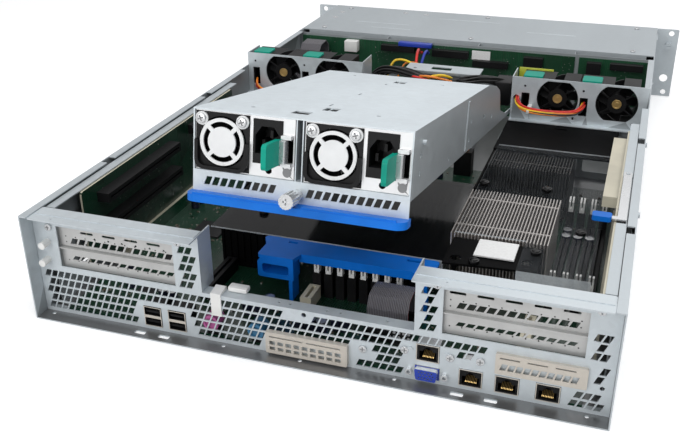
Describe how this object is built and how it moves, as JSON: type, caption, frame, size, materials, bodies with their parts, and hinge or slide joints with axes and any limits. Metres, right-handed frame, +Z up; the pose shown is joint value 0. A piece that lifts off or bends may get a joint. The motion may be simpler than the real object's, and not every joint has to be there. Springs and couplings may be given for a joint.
{
  "type": "2u rack server",
  "caption": "Open two-unit rack server chassis with riser bays, a hinged cage of two slide-out power modules, lift-out fans, heat sinks and front drive carriers.",
  "frame": {"origin": "middle of the underside of the floor", "axes": "+X to the right seen from the rear, +Y from the rear panel to the front face, +Z up"},
  "size_m": [0.4826, 0.7317, 0.1805],
  "materials": {
    "galvanised": "zinc coated sheet",
    "zinc_dark": "zinc coated sheet",
    "bright_steel": "plated",
    "green_board": "fibreglass board with solder resist",
    "cream_plastic": "moulded",
    "white_plastic": "moulded",
    "black_plastic": "moulded",
    "blue_plastic": "moulded",
    "green_plastic": "moulded",
    "clear_plastic": "clear sheet",
    "aluminium": "extruded fins",
    "cable_black": "bundled leads",
    "cable_grey": "flat cable",
    "cable_red": "fan leads"
  },
  "bodies": {
    "chassis": {"air_duct": "black_plastic", "backplane_boards": "green_board", "backplane_sockets": "black_plastic", "blue_guide": "blue_plastic", "board_sockets": "cream_plastic", "cage_hinge_brackets": "galvanised", "centre_bracket": "galvanised", "chassis_tray": "galvanised", "control_panel": "black_plastic", "cover_rails": "bright_steel", "drive_bay": "galvanised", "duct_window": "clear_plastic", "fan_walls": "galvanised", "fan_wires": "cable_red", "front_cover": "galvanised", "heat_sinks": "aluminium", "left_riser_bay": "galvanised", "memory_latches": "white_plastic", "memory_sockets": "black_plastic", "plastic_posts": "white_plastic", "port_inserts": "black_plastic", "port_shells": "bright_steel", "power_connectors": "black_plastic", "power_harness": "cable_black", "rack_ears": "galvanised", "rear_panel": "galvanised", "rear_ports": "bright_steel", "ribbon_cables": "cable_grey", "right_riser_bay": "galvanised", "riser_boards": "green_board", "riser_slots": "cream_plastic", "slot_covers": "zinc_dark", "system_board": "green_board", "vent_covers": "bright_steel"},
    "cage": {"psu_cage": "galvanised", "cage_handle": "blue_plastic"},
    "thumbscrew": {"cage_thumbscrew": "bright_steel"},
    "psu_left": {"psu_left_case": "galvanised", "psu_left_fittings": "black_plastic"},
    "psu_left_fan": {"psu_left_rotor": "black_plastic"},
    "psu_left_grip": {"psu_left_latch": "green_plastic"},
    "psu_right": {"psu_right_case": "galvanised", "psu_right_fittings": "black_plastic"},
    "psu_right_fan": {"psu_right_rotor": "black_plastic"},
    "psu_right_grip": {"psu_right_latch": "green_plastic"},
    "fan_1": {"fan_1_housing": "black_plastic"},
    "fan_1_wheel": {"fan_1_rotor": "black_plastic"},
    "fan_2": {"fan_2_housing": "black_plastic"},
    "fan_2_wheel": {"fan_2_rotor": "black_plastic"},
    "fan_3": {"fan_3_housing": "black_plastic"},
    "fan_3_wheel": {"fan_3_rotor": "black_plastic"},
    "fan_4": {"fan_4_housing": "black_plastic"},
    "fan_4_wheel": {"fan_4_rotor": "black_plastic"},
    "drive_1": {"drive_carrier_1": "black_plastic"},
    "drive_2": {"drive_carrier_2": "black_plastic"},
    "drive_3": {"drive_carrier_3": "black_plastic"},
    "drive_4": {"drive_carrier_4": "black_plastic"},
    "drive_5": {"drive_carrier_5": "black_plastic"},
    "lever": {"retaining_lever": "bright_steel"},
    "button": {"power_button": "black_plastic"}
  },
  "joints": [
    {"name": "cage_hinge", "type": "hinge", "parent": "chassis", "child": "cage", "pos_m": [0.0025, 0.141, 0.0395], "axis": [-1, 0, 0], "range_deg": [-10.9, 60]},
    {"name": "thumbscrew_turn", "type": "hinge", "parent": "cage", "child": "thumbscrew", "pos_m": [0.0025, -0.34743, 0.13142], "axis": [0, 0.982, -0.1891], "continuous": true},
    {"name": "psu_left_slide", "type": "slide", "parent": "cage", "child": "psu_left", "axis": [0, -0.982, 0.1891], "range_m": [0, 0.16]},
    {"name": "psu_left_fan_spin", "type": "hinge", "parent": "psu_left", "child": "psu_left_fan", "pos_m": [-0.0517, -0.33215, 0.15791], "axis": [0, 0.982, -0.1891], "continuous": true},
    {"name": "psu_left_latch_press", "type": "hinge", "parent": "psu_left", "child": "psu_left_grip", "pos_m": [-0.0066, -0.34273, 0.15903], "axis": [0, 0.1891, 0.982], "range_deg": [0, 12], "stiffness_Nm_per_rad": 0.15},
    {"name": "psu_right_slide", "type": "slide", "parent": "cage", "child": "psu_right", "axis": [0, -0.982, 0.1891], "range_m": [0, 0.16]},
    {"name": "psu_right_fan_spin", "type": "hinge", "parent": "psu_right", "child": "psu_right_fan", "pos_m": [0.0257, -0.33215, 0.15791], "axis": [0, 0.982, -0.1891], "continuous": true},
    {"name": "psu_right_latch_press", "type": "hinge", "parent": "psu_right", "child": "psu_right_grip", "pos_m": [0.0708, -0.34273, 0.15903], "axis": [0, 0.1891, 0.982], "range_deg": [0, 12], "stiffness_Nm_per_rad": 0.15},
    {"name": "fan_1_lift", "type": "slide", "parent": "chassis", "child": "fan_1", "axis": [0, 0, 1], "range_m": [0, 0.05]},
    {"name": "fan_1_spin", "type": "hinge", "parent": "fan_1", "child": "fan_1_wheel", "pos_m": [-0.172, 0.064, 0.0825], "axis": [0, 1, 0], "continuous": true},
    {"name": "fan_2_lift", "type": "slide", "parent": "chassis", "child": "fan_2", "axis": [0, 0, 1], "range_m": [0, 0.05]},
    {"name": "fan_2_spin", "type": "hinge", "parent": "fan_2", "child": "fan_2_wheel", "pos_m": [-0.114, 0.064, 0.0825], "axis": [0, 1, 0], "continuous": true},
    {"name": "fan_3_lift", "type": "slide", "parent": "chassis", "child": "fan_3", "axis": [0, 0, 1], "range_m": [0, 0.05]},
    {"name": "fan_3_spin", "type": "hinge", "parent": "fan_3", "child": "fan_3_wheel", "pos_m": [0.126, 0.064, 0.0825], "axis": [0, 1, 0], "continuous": true},
    {"name": "fan_4_lift", "type": "slide", "parent": "chassis", "child": "fan_4", "axis": [0, 0, 1], "range_m": [0, 0.05]},
    {"name": "fan_4_spin", "type": "hinge", "parent": "fan_4", "child": "fan_4_wheel", "pos_m": [0.184, 0.064, 0.0825], "axis": [0, 1, 0], "continuous": true},
    {"name": "drive_1_slide", "type": "slide", "parent": "chassis", "child": "drive_1", "axis": [0, 1, 0], "range_m": [0, 0.12]},
    {"name": "drive_2_slide", "type": "slide", "parent": "chassis", "child": "drive_2", "axis": [0, 1, 0], "range_m": [0, 0.12]},
    {"name": "drive_3_slide", "type": "slide", "parent": "chassis", "child": "drive_3", "axis": [0, 1, 0], "range_m": [0, 0.12]},
    {"name": "drive_4_slide", "type": "slide", "parent": "chassis", "child": "drive_4", "axis": [0, 1, 0], "range_m": [0, 0.12]},
    {"name": "drive_5_slide", "type": "slide", "parent": "chassis", "child": "drive_5", "axis": [0, 1, 0], "range_m": [0, 0.12]},
    {"name": "lever_swing", "type": "hinge", "parent": "chassis", "child": "lever", "pos_m": [0.20425, -0.137, 0.0865], "axis": [0, 0, -1], "range_deg": [0, 40]},
    {"name": "button_press", "type": "slide", "parent": "chassis", "child": "button", "axis": [0, -1, 0], "range_m": [0, 0.002], "stiffness_N_per_m": 800}
  ]
}
